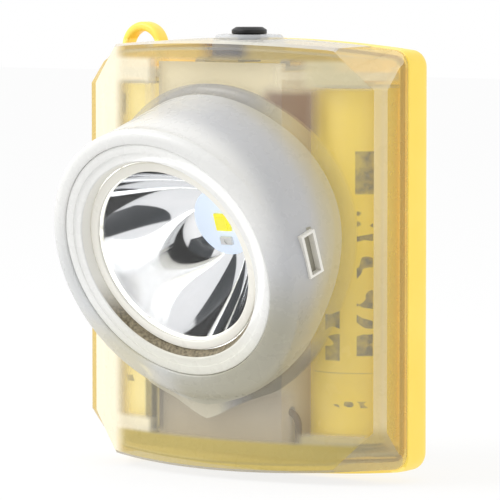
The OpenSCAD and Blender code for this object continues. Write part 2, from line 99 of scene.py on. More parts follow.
# Button: its place on the top, the flat that it stands on and the hole below it
BUTTON_Y = FACE_Y + 13.4
BOSS_Z = SHELL_HH - 0.1
LANDING_R = 7.0
BORE_R = 3.55

# Cover: its lanyard lug, its screws, and how far its top lies below the shell's
LUG_X, LUG_Z = -29.8, 39.6
ARCH_STEPS = 32
SCREW_X, SCREW_Z = 10.5, 37.0
SCREW_HOLE_R = 2.45
TOP_STEP = 0.6
COVER_STEPS = 320

# The shell's top edge bows out to EDGE_X, then runs round the corner to the straight side at EDGE_Z
EDGE_X, EDGE_Z = 27.0, 32.5
TOP_STEPS, CORNER_STEPS, SIDE_STEPS = 22, 30, 60
FILLET = 1.6

# Points in a column of the shell, from the rim's bore to the split, and where each look ends
BORE_ROWS, CROWN_ROWS, SLOPE_ROWS, FOOT_ROWS, FACE_ROWS = 6, 10, 12, 5, 8
BEVEL_STOPS = (0.35, 0.75, 1.0)
SIDE_STOPS = (0.08, 0.5, 1.0)
HOOD_END = BORE_ROWS + CROWN_ROWS + SLOPE_ROWS - 1
FOOT_END = HOOD_END + FOOT_ROWS
FACE_END = FOOT_END + FACE_ROWS
BEVEL_END = FACE_END + len(BEVEL_STOPS)

# Material places on the shell
FACE, HOOD, SIDE, FOOT, BEVEL, TOP, POCKET_BASE, INSIDE = range(8)

# Least angle between faces, in degrees, that stays a sharp edge
SHELL_SHARP, COVER_SHARP = 22, 35

# Corners of a square about its middle, and the floor's half width and its gap below the lamp in metres
SQUARE = ((-1, -1), (1, -1), (1, 1), (-1, 1))
FLOOR_HALF, FLOOR_GAP = 2, 0.0002


# ---------------------------------------------------------------- mesh helpers
def lamp_matrix():
    """Frame of the lamp's axis: +Z forward out of the lamp, +Y up."""
    return Matrix.Translation(LAMP) @ Matrix.Rotation(math.pi / 2 + TILT, 4, "X")


def new_piece(name, verts, faces, look, body="housing", sharp=30, stands_for=()):
    """A smooth-shaded mesh from points in millimetres, riding on a CAD body."""
    mesh = bpy.data.meshes.new(name)
    mesh.from_pydata([tuple(v * MM for v in p) for p in verts], [], faces)
    mesh.validate()
    obj = bpy.data.objects.new(name, mesh)
    bpy.context.scene.collection.objects.link(obj)
    clean(obj, sharp)
    mesh.materials.append(look)
    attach(obj, body)
    if stands_for:
        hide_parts(*stands_for)
    return obj


def clean(obj, sharp):
    """Merges doubles, turns the faces outward and shades smooth up to an angle."""
    bm = bmesh.new()
    bm.from_mesh(obj.data)
    bmesh.ops.remove_doubles(bm, verts=bm.verts, dist=1e-6)
    bmesh.ops.dissolve_degenerate(bm, dist=1e-7, edges=bm.edges)
    bmesh.ops.recalc_face_normals(bm, faces=bm.faces)
    bm.to_mesh(obj.data)
    bm.free()
    obj.data.shade_smooth()
    obj.data.set_sharp_from_angle(angle=math.radians(sharp))


def lathe(profile, matrix, steps=128):
    """Points and faces of a closed profile of (radius, height) turned about the matrix's Z."""
    verts, faces = [], []
    n = len(profile)
    for i in range(steps):
        a = 2 * math.pi * i / steps
        verts += [matrix @ Vector((r * math.cos(a), r * math.sin(a), h)) for r, h in profile]
    for i in range(steps):
        j = (i + 1) % steps
        for k in range(n):
            m = (k + 1) % n
            faces.append((i * n + k, j * n + k, j * n + m, i * n + m))
    return verts, faces


def arc(cx, cy, r, a0, a1, steps=6):
    """Points on an arc in the profile's plane, angles in degrees."""
    out = []
    for i in range(steps + 1):
        a = math.radians(a0 + (a1 - a0) * i / steps)
        out.append((cx + r * math.cos(a), cy + r * math.sin(a)))
    return out


def boolean(obj, tool, operation):
    """Applies a boolean with a tool object and removes the tool."""
    mod = obj.modifiers.new("cut", "BOOLEAN")
    mod.operation = operation
    mod.solver = "EXACT"
    mod.object = tool
    apply_modifiers(obj)
    bpy.data.objects.remove(tool)


def apply_modifiers(obj):
    """Replaces a piece's mesh with the result of its modifiers."""
    dg = bpy.context.evaluated_depsgraph_get()
    mesh = bpy.data.meshes.new_from_object(obj.evaluated_get(dg))
    old = obj.data
    obj.modifiers.clear()
    obj.data = mesh
    bpy.data.meshes.remove(old)


def tool_object(verts, faces):
    """A loose helper mesh for booleans."""
    mesh = bpy.data.meshes.new("tool")
    mesh.from_pydata([tuple(v * MM for v in p) for p in verts], [], faces)
    obj = bpy.data.objects.new("tool", mesh)
    bpy.context.scene.collection.objects.link(obj)
    bm = bmesh.new()
    bm.from_mesh(mesh)
    bmesh.ops.recalc_face_normals(bm, faces=bm.faces)
    bm.to_mesh(mesh)
    bm.free()
    return obj


def rod(centre, axis, radius, length, steps):
    """Points and faces of a cylinder about a centre."""
    turn = Vector((0, 0, 1)).rotation_difference(Vector(axis)).to_matrix().to_4x4()
    m = Matrix.Translation(centre) @ turn
    verts = []
    for h in (-length / 2, length / 2):
        for i in range(steps):
            a = 2 * math.pi * i / steps
            verts.append(m @ Vector((radius * math.cos(a), radius * math.sin(a), h)))
    faces = [tuple(range(steps - 1, -1, -1)), tuple(range(steps, 2 * steps))]
    faces += [(i, (i + 1) % steps, steps + (i + 1) % steps, steps + i) for i in range(steps)]
    return verts, faces


def block(centre, size):
    """Points and faces of a box."""
    half = Vector(size) / 2
    verts = []
    for z in (-1, 1):
        for x, y in SQUARE:
            verts.append(centre + Vector((x * half.x, y * half.y, z * half.z)))
    faces = [(3, 2, 1, 0), (4, 5, 6, 7), (0, 1, 5, 4), (1, 2, 6, 5), (2, 3, 7, 6), (3, 0, 4, 7)]
    return verts, faces


# ---------------------------------------------------------------- materials
def material(name):
    """A new material with only an output node."""
    mat = bpy.data.materials.new(name)
    mat.use_nodes = True
    tree = mat.node_tree
    tree.nodes.clear()
    out = tree.nodes.new("ShaderNodeOutputMaterial")
    return mat, tree, out


def node(tree, kind, **values):
    """A shader node, each value set on its input socket or else on the node."""
    made = tree.nodes.new("ShaderNode" + kind)
    for key, value in values.items():
        if key in made.inputs.keys():
            made.inputs[key].default_value = value
        else:
            setattr(made, key, value)
    return made


def noise(tree, scale, detail=4.0, rough=0.5, stretch=(1, 1, 1)):
    """Noise in the object's own coordinates, in metres."""
    coord = node(tree, "TexCoord")
    mapping = node(tree, "Mapping")
    mapping.inputs["Scale"].default_value = stretch
    tree.links.new(coord.outputs["Object"], mapping.inputs["Vector"])
    tex = node(tree, "TexNoise", Scale=scale, Detail=detail, Roughness=rough)
    tree.links.new(mapping.outputs["Vector"], tex.inputs["Vector"])
    return tex.outputs["Fac"]


def ramp(tree, fac, stops):
    """Colours at (position, colour) stops."""
    made = tree.nodes.new("ShaderNodeValToRGB")
    els = made.color_ramp.elements
    while len(els) < len(stops):
        els.new(0.5)
    for el, (pos, col) in zip(els, stops):
        el.position = pos
        el.color = (*col, 1)
    tree.links.new(fac, made.inputs["Fac"])
    return made.outputs["Color"]


def remap(tree, fac, lo, hi, to_lo, to_hi):
    """A value carried from one range to another."""
    made = node(tree, "MapRange")
    made.inputs["From Min"].default_value = lo
    made.inputs["From Max"].default_value = hi
    made.inputs["To Min"].default_value = to_lo
    made.inputs["To Max"].default_value = to_hi
    tree.links.new(fac, made.inputs["Value"])
    return made.outputs["Result"]


def bump(tree, height, strength, distance):
    """A normal raised by a height."""
    made = node(tree, "Bump", Strength=strength, Distance=distance)
    tree.links.new(height, made.inputs["Height"])
    return made.outputs["Normal"]


def math_node(tree, operation, *values):
    """One sum on numbers or sockets."""
    made = node(tree, "Math", operation=operation)
    for socket, value in zip(made.inputs, values):
        if isinstance(value, (int, float)):
            socket.default_value = value
        else:
            tree.links.new(value, socket)
    return made.outputs[0]


def soft_step(tree, value, lo, hi):
    """From 0 at lo to 1 at hi, with soft ends."""
    made = node(tree, "MapRange", interpolation_type="SMOOTHSTEP")
    made.inputs["From Min"].default_value = lo
    made.inputs["From Max"].default_value = hi
    tree.links.new(value, made.inputs["Value"])
    return made.outputs["Result"]


def along(tree, axis, lo, hi):
    """From 0 to 1 between two positions in millimetres along an axis of the row frame."""
    coord = node(tree, "TexCoord")
    axes = node(tree, "SeparateXYZ")
    tree.links.new(coord.outputs["Object"], axes.inputs["Vector"])
    return soft_step(tree, axes.outputs[axis], lo * MM, hi * MM)


# Sockets of a Mix node set to colours
MIX_FAC, MIX_A, MIX_B, MIX_RESULT = 0, 6, 7, 2


def blend(tree, fac, a, b):
    """Colour a where fac is 0 and colour b where it is 1."""
    made = node(tree, "Mix", data_type="RGBA")
    tree.links.new(fac, made.inputs[MIX_FAC])
    for socket, value in ((MIX_A, a), (MIX_B, b)):
        if isinstance(value, tuple):
            made.inputs[socket].default_value = (*value, 1)
        else:
            tree.links.new(value, made.inputs[socket])
    return made.outputs[MIX_RESULT]


def where(tree, steps):
    """1 inside every given step and 0 outside, each step (axis, from, to) in millimetres."""
    mask = None
    for axis, lo, hi in steps:
        step = along(tree, axis, lo, hi)
        mask = step if mask is None else math_node(tree, "MULTIPLY", mask, step)
    return mask


# Worn dark ink of the bars on the cells
PRINT_INK = (0.11, 0.11, 0.10)


def plastic(name, dark, light, rough, grain=900.0, grain_depth=0.00002, glow=0.0, zones=(), marks=None):
    """Moulded plastic or rubber: two close colours, a fine grain and uneven gloss.

    Zones are (steps, colour), with steps as in where(). The glow stands for light scattered about
    inside the frosted shell.
    """
    mat, tree, out = material(name)
    bsdf = node(tree, "BsdfPrincipled")
    cloud = noise(tree, 60.0, 3.0)
    base = ramp(tree, cloud, [(0.3, dark), (0.7, light)])
    for steps, colour in zones:
        base = blend(tree, where(tree, steps), base, colour)
    if marks:
        base = blend(tree, marks(tree), base, PRINT_INK)
    tree.links.new(base, bsdf.inputs["Base Color"])
    if glow:
        tree.links.new(base, bsdf.inputs["Emission Color"])
        bsdf.inputs["Emission Strength"].default_value = glow
    uneven = remap(tree, noise(tree, 220.0, 4.0), 0.3, 0.7, *rough)
    tree.links.new(uneven, bsdf.inputs["Roughness"])
    tree.links.new(bump(tree, noise(tree, grain, 3.0), 0.35, grain_depth), bsdf.inputs["Normal"])
    tree.links.new(bsdf.outputs["BSDF"], out.inputs["Surface"])
    return mat


def metal(name, dark, light, rough, stretch=(1, 1, 1), scale=400.0, depth=0.00001):
    """Bare or plated metal with streaks in its colour, gloss and surface."""
    mat, tree, out = material(name)
    bsdf = node(tree, "BsdfPrincipled", Metallic=1.0)
    streaks = noise(tree, scale, 5.0, 0.6, stretch)
    tree.links.new(ramp(tree, streaks, [(0.3, dark), (0.7, light)]), bsdf.inputs["Base Color"])
    tree.links.new(remap(tree, streaks, 0.3, 0.7, *rough), bsdf.inputs["Roughness"])
    tree.links.new(bump(tree, streaks, 0.3, depth), bsdf.inputs["Normal"])
    tree.links.new(bsdf.outputs["BSDF"], out.inputs["Surface"])
    return mat


def veil(name, colour, clear, rough=(0.22, 0.34), zones=(), glow=0.0):
    """Frosted plastic: a pale skin that lets part of what lies behind it through.

    Each zone is (steps, colour, clear), with steps as in where(). The zones paint the haze, painted
    shade in the gaps behind the skin, the cover's yellow darkened by painted shade, and painted
    highlights, where the real skin shows them. The glow is painted light from inside the skin.
    """
    mat, tree, out = material(name)
    bsdf = node(tree, "BsdfPrincipled", IOR=1.45)
    cloud = noise(tree, 70.0, 4.0)
    base = ramp(tree, cloud, [(0.3, [c * 0.95 for c in colour]), (0.7, colour)])
    open_part = (clear,) * 3
    for steps, zone_colour, zone_clear in zones:
        mask = where(tree, steps)
        base = blend(tree, mask, base, zone_colour)
        open_part = blend(tree, mask, open_part, (zone_clear,) * 3)
    tree.links.new(base, bsdf.inputs["Base Color"])
    if glow:
        tree.links.new(base, bsdf.inputs["Emission Color"])
        bsdf.inputs["Emission Strength"].default_value = glow
    uneven = remap(tree, noise(tree, 300.0, 4.0), 0.3, 0.7, *rough)
    tree.links.new(uneven, bsdf.inputs["Roughness"])
    tree.links.new(bump(tree, noise(tree, 1400.0, 2.0), 0.5, 0.000012), bsdf.inputs["Normal"])
    patchy = remap(tree, noise(tree, 45.0, 3.0), 0.3, 0.7, 0.95, 1.05)
    seen = math_node(tree, "MULTIPLY", patchy, open_part if zones else clear)
    skin = node(tree, "BsdfTransparent")
    mix = node(tree, "MixShader")
    tree.links.new(seen, mix.inputs["Fac"])
    tree.links.new(bsdf.outputs["BSDF"], mix.inputs[1])
    tree.links.new(skin.outputs["BSDF"], mix.inputs[2])
    tree.links.new(mix.outputs["Shader"], out.inputs["Surface"])
    return mat


# Face zones: the gaps between the cells and the frame are painted shade, the ochre bands along the top and
# bottom are the cover's yellow with painted shade, and the pale band at the far left is a painted
# highlight
FACE_VEIL = veil("frosted_face", (0.70, 0.66, 0.54), 0.88, zones=[
    # dark painted shade in the gap between the left cell and the frame, low down
    ([("X", -17.4, -16.4), ("X", -12.6, -13.8), ("Z", -20, -26), ("Z", -36, -34)],
     (0.10, 0.11, 0.13), 0.40),
    # paler painted shade in the same gap, high up
    ([("X", -17.4, -16.4), ("X", -13.2, -14.4), ("Z", 20, 26)], (0.60, 0.56, 0.50), 0.70),
    # painted shade in the gap between the frame and the right cell
    ([("X", 20.0, 21.2), ("X", 23.4, 22.2), ("Z", 12, 18)], (0.42, 0.41, 0.38), 0.66),
    ([("X", 11, 14), ("X", 24, 21), ("Z", 10, 16), ("Z", 34, 31)], (0.28, 0.19, 0.16), 0.50),
    ([("X", 13.5, 16.5), ("X", 25.5, 22.5), ("Z", 31, 33.5), ("Z", 38.5, 36.5)],
     (0.76, 0.70, 0.54), 0.64),
    ([("X", -13.4, -12.4), ("X", 20, 17), ("Z", -24, -27)], (0.56, 0.50, 0.40), 0.66),
    ([("X", -14.5, -16.5), ("Z", 32.4, 34.2)], (0.88, 0.82, 0.64), 0.30),
    ([("X", 20.0, 22.5), ("Z", 32.2, 33.8)], (0.74, 0.68, 0.46), 0.36),
    ([("X", -14.5, -16.5), ("Z", -32.0, -33.4)], (0.84, 0.78, 0.60), 0.30),
    ([("X", 19.0, 21.5), ("Z", -33.0, -34.4)], (0.60, 0.53, 0.32), 0.42),
    # the cover's yellow inside along the top, darkened with painted shade
    ([("Z", 37.4, 38.6)], (0.60, 0.48, 0.22), 0.44),
    ([("X", -3, 2), ("X", 11, 7), ("Z", 37.4, 39.4)], (0.20, 0.20, 0.22), 0.46),
    # the cover's yellow inside along the bottom, darkened with painted shade
    ([("Z", -35.0, -36.0)], (0.56, 0.45, 0.14), 0.36),
    # painted highlight on the far left of the face
    ([("X", -22.8, -27.4)], (0.95, 0.88, 0.68), 0.12)])
BEVEL_VEIL = veil("frosted_bevel", (0.90, 0.80, 0.54), 0.48, zones=[
    ([("X", 0, -10)], (0.67, 0.48, 0.09), 0.16),
    ([("X", 10, 20), ("Z", -31, -34)], (0.52, 0.46, 0.28), 0.45)])
# Hood: its right side and lower part are darkened as painted shade, and the rim's front is paled as a
# painted highlight
HOOD_VEIL = veil("frosted_hood", (0.74, 0.75, 0.75), 0.18, zones=[
    # painted shade on the hood's right side
    ([("X", -6, 12)], (0.60, 0.61, 0.63), 0.20),
    ([("X", -6, -14), ("Z", -10, -20)], (0.70, 0.67, 0.54), 0.18),
    # painted shade on the hood's lower right
    ([("X", -4, 10), ("Z", 2, -14)], (0.47, 0.45, 0.36), 0.22),
    ([("Y", -38, -30), ("X", 2, 14)], (0.70, 0.65, 0.47), 0.42),
    # painted highlight on the rim's crown
    ([("Y", -43, -50)], (0.86, 0.86, 0.84), 0.14),
    # painted shade low on the hood
    ([("X", -12, -2), ("Z", -17, -27)], (0.50, 0.48, 0.38), 0.20)])
# The hood's foot is painted shade: a grey band where the hood meets the face, clearing towards the upper
# right, with a darker painted shadow at the lower right
FOOT_SHADE_VEIL = veil("frosted_foot_shade", (0.40, 0.40, 0.40), 0.45, zones=[
    ([("X", 9, 20), ("Z", -22, -14)], (0.72, 0.66, 0.46), 0.80),
    ([("X", 6, 12), ("Z", -14, -22)], (0.30, 0.28, 0.22), 0.55),
    ([("X", 8, 2), ("Z", -18, -24)], (0.60, 0.56, 0.44), 0.22)])
SIDE_VEIL = veil("frosted_side", (0.80, 0.60, 0.20), 0.60, zones=[
    ([("X", 0, -10)], (0.74, 0.53, 0.11), 0.16)])
# The shell's top and bottom edges: the bottom one is darkened as painted shade
TOP_VEIL = veil("frosted_top", (0.80, 0.78, 0.70), 0.26, zones=[
    ([("Z", 0, -10)], (0.46, 0.43, 0.34), 0.40)])
# The shell's inner walls: the glow is painted light, and the darker brown on the right is painted shade
# between the right cell and the side
INSIDE_VEIL = veil("frosted_inside", (0.92, 0.86, 0.64), 0.66, glow=0.6, zones=[
    ([("X", -5, 5)], (0.30, 0.22, 0.08), 0.78)])
POCKET_WHITE = veil("pocket_edge", (0.92, 0.90, 0.83), 0.06)
POCKET_FLOOR = plastic("pocket_floor", (0.26, 0.25, 0.20), (0.40, 0.38, 0.31), (0.5, 0.7),
                       grain=2400.0, grain_depth=0.00005)
RIM_VEIL = veil("frosted_rim", (0.87, 0.87, 0.85), 0.10, zones=[
    ([("Z", -8, -20)], (0.78, 0.77, 0.69), 0.12)])
GUARD_CLEAR = veil("clear_guard", (0.80, 0.82, 0.85), 0.55, rough=(0.05, 0.1))
# The cover's glows are painted light: outside it brightens the yellow, inside it stands for light coming
# in through the shell
COVER_YELLOW = plastic("cover_yellow", (0.96, 0.70, 0.09), (0.99, 0.74, 0.12), (0.34, 0.44), glow=0.08)
COVER_INSIDE = plastic("cover_inside", (0.88, 0.66, 0.16), (0.92, 0.70, 0.19), (0.5, 0.6), glow=0.35)


# Middle of the right cell; the left one mirrors it
CELL_X, CELL_Y = 24.7, -16.75


def printed(centre_x, bars):
    """Plain printed bars on a cell's wrap.

    Each bar is (from, to) in degrees round it, (from, to) in height, and the size of its wear.
    """
    def marks(tree):
        coord = node(tree, "TexCoord")
        axes = node(tree, "SeparateXYZ")
        tree.links.new(coord.outputs["Object"], axes.inputs["Vector"])
        ahead = math_node(tree, "SUBTRACT", CELL_Y * MM, axes.outputs["Y"])
        side = math_node(tree, "SUBTRACT", axes.outputs["X"], centre_x * MM)
        turn = math_node(tree, "ARCTAN2", side, ahead)
        total = None
        for (a0, a1), (z0, z1), wear in bars:
            first = soft_step(tree, turn, math.radians(a0), math.radians(a0 + 1.5))
            last = soft_step(tree, turn, math.radians(a1), math.radians(a1 - 1.5))
            mask = math_node(tree, "MULTIPLY", first, last)
            mask = math_node(tree, "MULTIPLY", mask, along(tree, "Z", z0, z0 + 0.3))
            mask = math_node(tree, "MULTIPLY", mask, along(tree, "Z", z1, z1 - 0.3))
            if wear:
                worn = noise(tree, 1000.0 / wear, 0.0, 0.5, (0.55, 0.55, 1.0))
                mask = math_node(tree, "MULTIPLY", mask, soft_step(tree, worn, 0.46, 0.50))
            total = mask if total is None else math_node(tree, "MAXIMUM", total, mask)
        faded = remap(tree, noise(tree, 420.0, 3.0), 0.35, 0.65, 0.45, 0.85)
        return math_node(tree, "MULTIPLY", total, faded)
    return marks


CELL_RIGHT = plastic(
    "cell_wrap_right", (0.86, 0.62, 0.06), (0.90, 0.68, 0.10), (0.2, 0.28), grain=500.0, glow=0.12,
    marks=printed(CELL_X, [
        ((31, 55), (12.5, 21.0), 0), ((33, 54), (-18.5, 9.5), 2.0), ((-8, 14), (-19.5, -8.0), 2.2),
        ((-30, 60), (-21.9, -21.5), 0), ((0, 50), (-28.5, -27.0), 1.2), ((63, 66), (-18, 24), 0)]))
# The left cell is a lit copy of the right one: its paler yellow and stronger glow are painted light
CELL_LEFT = plastic(
    "cell_wrap_left", (0.92, 0.77, 0.28), (0.95, 0.81, 0.34), (0.2, 0.28), grain=500.0, glow=0.4,
    marks=printed(-CELL_X, [
        ((-15, -6), (26.5, 31.0), 0), ((-20, 10), (-26.5, -25.0), 1.2)]))
CREAM = plastic(
    "cream_frame", (0.66, 0.61, 0.49), (0.72, 0.67, 0.54), (0.5, 0.6), glow=0.10,
    zones=[([("Z", 12, 34)], (0.90, 0.80, 0.54)), ([("Z", -28, -36)], (0.62, 0.54, 0.34))])
LIP_CREAM = plastic("lip_cream", (0.84, 0.82, 0.74), (0.88, 0.86, 0.79), (0.25, 0.35))
# The lens seat glows as painted light, so that the mirror and the lens show it bright
SEAT_GLOW = plastic("lens_seat", (0.80, 0.81, 0.82), (0.86, 0.87, 0.88), (0.3, 0.4), glow=2.0)
BLACK_RUBBER = plastic("button_rubber", (0.006, 0.006, 0.007), (0.014, 0.014, 0.015), (0.38, 0.5))
AMBER_SEAL = plastic("amber_seal", (0.42, 0.22, 0.01), (0.50, 0.27, 0.03), (0.4, 0.5), glow=0.05)
SEAL = plastic("seal_rubber", (0.02, 0.02, 0.02), (0.03, 0.03, 0.03), (0.5, 0.6))
# The light board's glow is painted light
WHITE_BOARD = plastic("board_white", (0.66, 0.76, 0.90), (0.72, 0.81, 0.93), (0.3, 0.4), glow=0.4)
PHOSPHOR = plastic("led_phosphor", (0.90, 0.82, 0.01), (0.96, 0.88, 0.02), (0.3, 0.4), glow=0.3)
LED_WHITE = plastic("led_white", (0.80, 0.80, 0.78), (0.88, 0.88, 0.86), (0.3, 0.4))
GREEN = plastic("board_green", (0.02, 0.16, 0.06), (0.03, 0.22, 0.09), (0.25, 0.35))
CHIP = plastic("chip_black", (0.015, 0.015, 0.018), (0.03, 0.03, 0.035), (0.4, 0.5))
PAPER = plastic("paper_ring", (0.78, 0.78, 0.74), (0.85, 0.85, 0.80), (0.7, 0.8))
WIRE_RED = plastic("wire_red", (0.5, 0.02, 0.02), (0.6, 0.03, 0.03), (0.4, 0.5))
WIRE_BROWN = plastic("wire_brown", (0.20, 0.14, 0.08), (0.26, 0.19, 0.11), (0.4, 0.5))
STEEL = metal("clip_steel", (0.60, 0.61, 0.62), (0.74, 0.75, 0.76), (0.22, 0.36), (12, 1, 0.4))
SCREW = metal("screw_steel", (0.55, 0.55, 0.57), (0.70, 0.70, 0.72), (0.25, 0.4))
BRASS = metal("contact_brass", (0.70, 0.52, 0.22), (0.80, 0.62, 0.30), (0.25, 0.4))
ALUMINIUM = metal("sink_aluminium", (0.60, 0.61, 0.63), (0.72, 0.73, 0.75), (0.3, 0.45))
CHROME = metal("mirror_coat", (0.88, 0.89, 0.90), (0.93, 0.93, 0.94), (0.03, 0.06),
               scale=90.0, depth=0.000002)


def grained_bore():
    """Bore of the rim: pale above, with a coarse sandy grain below."""
    mat, tree, out = material("grained_bore")
    bsdf = node(tree, "BsdfPrincipled", Roughness=0.5)
    sand = noise(tree, 1500.0, 5.0, 0.7)
    grain = ramp(tree, sand, [(0.35, (0.09, 0.07, 0.04)), (0.65, (0.34, 0.29, 0.19))])
    base = blend(tree, along(tree, "Z", -4, -13), (0.84, 0.83, 0.78), grain)
    tree.links.new(base, bsdf.inputs["Base Color"])
    tree.links.new(bump(tree, sand, 0.6, 0.00005), bsdf.inputs["Normal"])
    tree.links.new(bsdf.outputs["BSDF"], out.inputs["Surface"])
    return mat


def lens_glass():
    """Clear lens with a faint reflection."""
    mat, tree, out = material("clear_lens")
    gloss = node(tree, "BsdfGlossy", Roughness=0.03)
    clear = node(tree, "BsdfTransparent")
    fresnel = node(tree, "Fresnel", IOR=1.25)
    mix = node(tree, "MixShader")
    tree.links.new(fresnel.outputs["Fac"], mix.inputs["Fac"])
    tree.links.new(clear.outputs["BSDF"], mix.inputs[1])
    tree.links.new(gloss.outputs["BSDF"], mix.inputs[2])
    tree.links.new(mix.outputs["Shader"], out.inputs["Surface"])
    return mat


LENS = lens_glass()
GRAIN_WALL = grained_bore()


# ---------------------------------------------------------------- front shell
def face_y(x):
    """Y of the bowed front face."""
    return FACE_Y + FACE_BOW_R - math.sqrt(FACE_BOW_R ** 2 - x * x)


def top_z(x):
    """Height of the shell's bowed top edge."""
    return SHELL_HH - BOW_R + math.sqrt(BOW_R ** 2 - x * x)


# Where the hood meets the face: radius about the middle by angle above the side
BASE_RADII = [(-90, 31.8), (-76, 30.4), (-60, 29.9), (-40, 29.8), (-20, 29.6), (0, 30.8), (20, 32.4),
              (40, 33.2), (60, 33.2), (90, 33.4)]


def base_radius(angle):
    """Smooth radius of the hood's base at an angle in degrees, mirrored left to right."""
    pts = BASE_RADII
    for i in range(len(pts) - 1):
        if angle <= pts[i + 1][0] or i == len(pts) - 2:
            break
    a0, r0 = pts[i]
    a1, r1 = pts[i + 1]
    before = pts[i - 1] if i else (2 * a0 - a1, r0 + 1.1)
    after = pts[i + 2] if i + 2 < len(pts) else (2 * a1 - a0, r0)
    m0 = (r1 - before[1]) / (a1 - before[0])
    m1 = (after[1] - r0) / (after[0] - a0)
    t, h = (angle - a0) / (a1 - a0), a1 - a0
    return ((2 * t ** 3 - 3 * t * t + 1) * r0 + (t ** 3 - 2 * t * t + t) * h * m0
            + (3 * t * t - 2 * t ** 3) * r1 + (t ** 3 - t * t) * h * m1)


def edge_columns():
    """Rows of (face edge, body edge) points down the right side, from top middle to bottom middle."""
    bevel_x, bevel_y, bevel_back = HALF_W - 2.2, FACE_Y + 7.7, FACE_Y + 9.1
    chamfer = [(EDGE_X, top_z(EDGE_X) - 0.6), (bevel_x, EDGE_Z)]
    columns = []
    for i in range(TOP_STEPS):
        x = EDGE_X * i / TOP_STEPS
        z = top_z(x)
        columns.append((Vector((x, face_y(x), z - 0.5)), Vector((x, face_y(x) + 0.5, z))))
    corner = Vector((HALF_W - CORNER_R, 0, top_z(HALF_W) - CORNER_R + 0.2))
    arc_top = top_z(corner.x)
    deep = SPLIT_Y - 0.6
    side_path = [Vector((EDGE_X, face_y(EDGE_X) + 0.5, top_z(EDGE_X)))]
    side_path.append(Vector((corner.x, deep - 2.2, arc_top)))
    for k in range(1, 8):
        a = math.radians(90 - 90 * k / 8)
        side_path.append(Vector((corner.x + CORNER_R * math.cos(a), deep - abs(k - 4) * 0.25,
                                 corner.z + (arc_top - corner.z) * math.sin(a))))
    side_path.append(Vector((HALF_W, deep - 2.2, corner.z)))
    side_path.append(Vector((HALF_W, bevel_back, EDGE_Z)))
    lengths = [0.0]
    for a, b in zip(side_path, side_path[1:]):
        lengths.append(lengths[-1] + (b - a).length)
    for i in range(CORNER_STEPS):
        t = i / CORNER_STEPS
        at = t * lengths[-1]
        k = max(j for j in range(len(lengths) - 1) if lengths[j] <= at + 1e-9)
        part = (at - lengths[k]) / (lengths[k + 1] - lengths[k])
        outer = side_path[k].lerp(side_path[k + 1], part)
        x = chamfer[0][0] + (chamfer[1][0] - chamfer[0][0]) * t
        z = chamfer[0][1] + (chamfer[1][1] - chamfer[0][1]) * t
        columns.append((Vector((x, face_y(x), z)), outer))
    for i in range(SIDE_STEPS + 1):
        z = EDGE_Z - 2 * EDGE_Z * i / SIDE_STEPS
        columns.append((Vector((bevel_x, bevel_y, z)), Vector((HALF_W, bevel_back, z))))
    upper = columns[:TOP_STEPS + CORNER_STEPS]
    lower = [(Vector((a.x, a.y, -a.z)), Vector((b.x, b.y, -b.z))) for a, b in reversed(upper)]
    return columns + lower


def rim_point(angle, r, w, drop):
    """A point round the lamp's axis, w ahead of its lens's front and lowered by a drop."""
    return lamp_matrix() @ Vector((r * math.cos(angle), r * math.sin(angle) - drop, w))


def flare(p):
    """The body grows a little towards the split, more below than above."""
    t = min(max((p.y - FACE_Y) / (SPLIT_Y - FACE_Y), 0), 1)
    growth = 0.009 if p.z > 0 else 0.022
    return Vector((p.x, p.y, p.z * (1 + t * growth * min(abs(p.z) / 40, 1) ** 2)))


def shell_column(face_edge, body_edge):
    """Points of one column, from the rim's bore over the hood and the face and back to the split."""
    angle = math.atan2(face_edge.z, abs(face_edge.x))
    r = base_radius(math.degrees(angle)) - FILLET
    foot = Vector((r * math.cos(angle), 0, r * math.sin(angle)))
    foot.y = face_y(foot.x)
    rim = [(BEZEL_R, -2.0), (BEZEL_R, 1.0), (BEZEL_R, RIM_W - 0.25)]
    rim += arc(BEZEL_R + 0.35, RIM_W - 0.25, 0.35, 180, 90, 3)[1:]
    crown_r, crown_w = BEZEL_R + 0.9, RIM_W - 2.4
    for k in range(1, CROWN_ROWS + 1):
        a = math.radians(90 * k / CROWN_ROWS)
        rim.append((crown_r + (HOOD_R - crown_r) * math.sin(a), crown_w + 2.45 * math.cos(a)))
    points = []
    for i, (rim_r, ahead) in enumerate(rim):
        p = rim_point(angle, rim_r, ahead, RIM_DROP * max(i - BORE_ROWS, 0) / (CROWN_ROWS - 1))
        p.y = min(p.y, face_y(p.x) - 0.6)
        points.append(p)
    last = points[-1]
    out = Vector((math.cos(angle), 0, math.sin(angle)))
    fillet = min(FILLET, 0.6 * (foot - last).length)
    slope = (foot - last).normalized()
    start = foot - slope * fillet
    for k in range(1, SLOPE_ROWS + 1):
        points.append(last.lerp(start, k / SLOPE_ROWS))
    landed = foot + out * fillet
    landed.y = face_y(landed.x)
    for k in range(1, FOOT_ROWS + 1):
        t = k / FOOT_ROWS
        points.append(start.lerp(foot, t).lerp(foot.lerp(landed, t), t))
    for k in range(1, FACE_ROWS + 1):
        p = landed.lerp(face_edge, k / FACE_ROWS)
        p.y = face_y(p.x)
        points.append(p)
    for k in BEVEL_STOPS:
        points.append(face_edge.lerp(body_edge, k))
    end = Vector((body_edge.x, SPLIT_Y, body_edge.z))
    for k in SIDE_STOPS:
        points.append(body_edge.lerp(end, k))
    return points


def shell_look(row, on_top):
    """The material place of a shell face, by its row and whether it is on the top or bottom edge."""
    if row < HOOD_END:
        return HOOD
    if row < FOOT_END:
        return FOOT
    if row < FACE_END:
        return FACE
    if on_top:
        return TOP
    return BEVEL if row < BEVEL_END else SIDE


def pocket_matrix():
    """Frame of the pocket in the hood's side, with its X out of the hood."""
    return lamp_matrix() @ Matrix.Translation(POCKET) @ Matrix.Rotation(math.radians(-6), 4, "Y")


def cut_rod(obj, centre, axis, radius, length, steps):
    """Cuts a round hole or flat into a piece."""
    boolean(obj, tool_object(*rod(Vector(centre), axis, radius, length, steps)), "DIFFERENCE")


